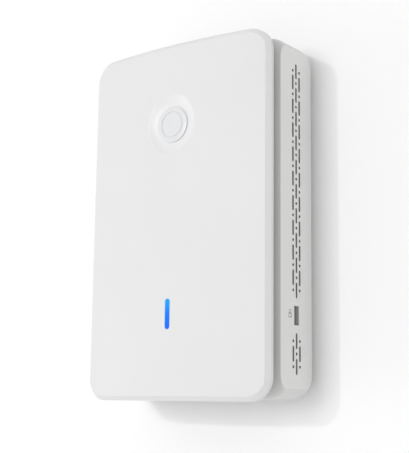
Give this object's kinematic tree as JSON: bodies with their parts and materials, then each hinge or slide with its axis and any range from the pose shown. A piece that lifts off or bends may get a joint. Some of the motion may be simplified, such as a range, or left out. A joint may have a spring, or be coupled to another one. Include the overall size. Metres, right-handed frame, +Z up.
{
  "type": "wall-mounted wireless access point",
  "caption": "Slim white wireless access point and range extender with a crowned cover, side vents, network ports and a steel wall bracket.",
  "frame": {"origin": "middle of the wall bracket's screw pattern, on the wall plane", "axes": "+X to the right, +Y into the wall, +Z up; the front faces -Y"},
  "size_m": [0.0866, 0.0366, 0.139],
  "materials": {
    "cover_plastic": "fine satin texture, white",
    "housing_plastic": "fine satin texture, white",
    "badge_plastic": "satin, pale grey",
    "light_strip": "translucent, lit blue",
    "black_foam": "closed-cell foam",
    "board_green": "solder mask",
    "led_lens": "clear resin",
    "chip_black": "moulded epoxy",
    "thermal_pad": "soft silicone",
    "cast_aluminium": "as cast",
    "screw_steel": "zinc plated",
    "shield_tin": "tin plated sheet",
    "transformer_tape": "polyester tape",
    "inductor_ferrite": "pressed ferrite",
    "capacitor_sleeve": "shrink sleeve",
    "jack_metal": "nickel plated sheet",
    "contact_gold": "gold flash",
    "antenna_metal": "stamped, tin flashed",
    "plate_steel": "dull zinc plating",
    "bracket_steel": "zinc plated sheet",
    "label_paper": "blank polyester label"
  },
  "bodies": {
    "bracket": {"wall_bracket": "bracket_steel"},
    "tongue": {"bracket_tongue": "bracket_steel"},
    "reset": {"reset_plunger": "housing_plastic"},
    "unit": {"housing": "housing_plastic", "front_cover": "cover_plastic", "badge": "badge_plastic", "light_pipe": "light_strip", "light_gasket": "black_foam", "main_board": "board_green", "status_leds": "led_lens", "processor": "chip_black", "thermal_pad": "thermal_pad", "heat_spreader": "cast_aluminium", "spreader_screws": "screw_steel", "memory_chips": "chip_black", "radio_chips": "chip_black", "radio_shield": "shield_tin", "switch_chip": "chip_black", "switch_shield": "shield_tin", "power_shield": "shield_tin", "poe_transformer": "transformer_tape", "power_inductor": "inductor_ferrite", "capacitors": "capacitor_sleeve", "lan_magnetics": "chip_black", "lan_jack": "jack_metal", "lan_contacts": "contact_gold", "uplink_jack": "jack_metal", "uplink_contacts": "contact_gold", "reset_switch": "chip_black", "antenna_top_left": "antenna_metal", "antenna_top_right": "antenna_metal", "antenna_side_left": "antenna_metal", "antenna_side_right": "antenna_metal", "lock_plate": "plate_steel", "lock_plate_screw": "screw_steel", "cover_screws": "screw_steel", "rating_label": "label_paper"}
  },
  "joints": [
    {"name": "lift_off", "type": "slide", "parent": "bracket", "child": "unit", "axis": [0, 0, 1], "range_m": [0, 0.008]},
    {"name": "tongue_flex", "type": "hinge", "parent": "bracket", "child": "tongue", "pos_m": [0, -0.0006, -0.036], "axis": [-1, 0, 0], "range_deg": [0, 2.8]},
    {"name": "reset_press", "type": "slide", "parent": "unit", "child": "reset", "axis": [0, 0, 1], "range_m": [0, 0.0005], "stiffness_N_per_m": 400}
  ],
  "couplings": [
    {"joint": "tongue_flex", "follows": "lift_off", "rad_per_m": 6.1017}
  ]
}
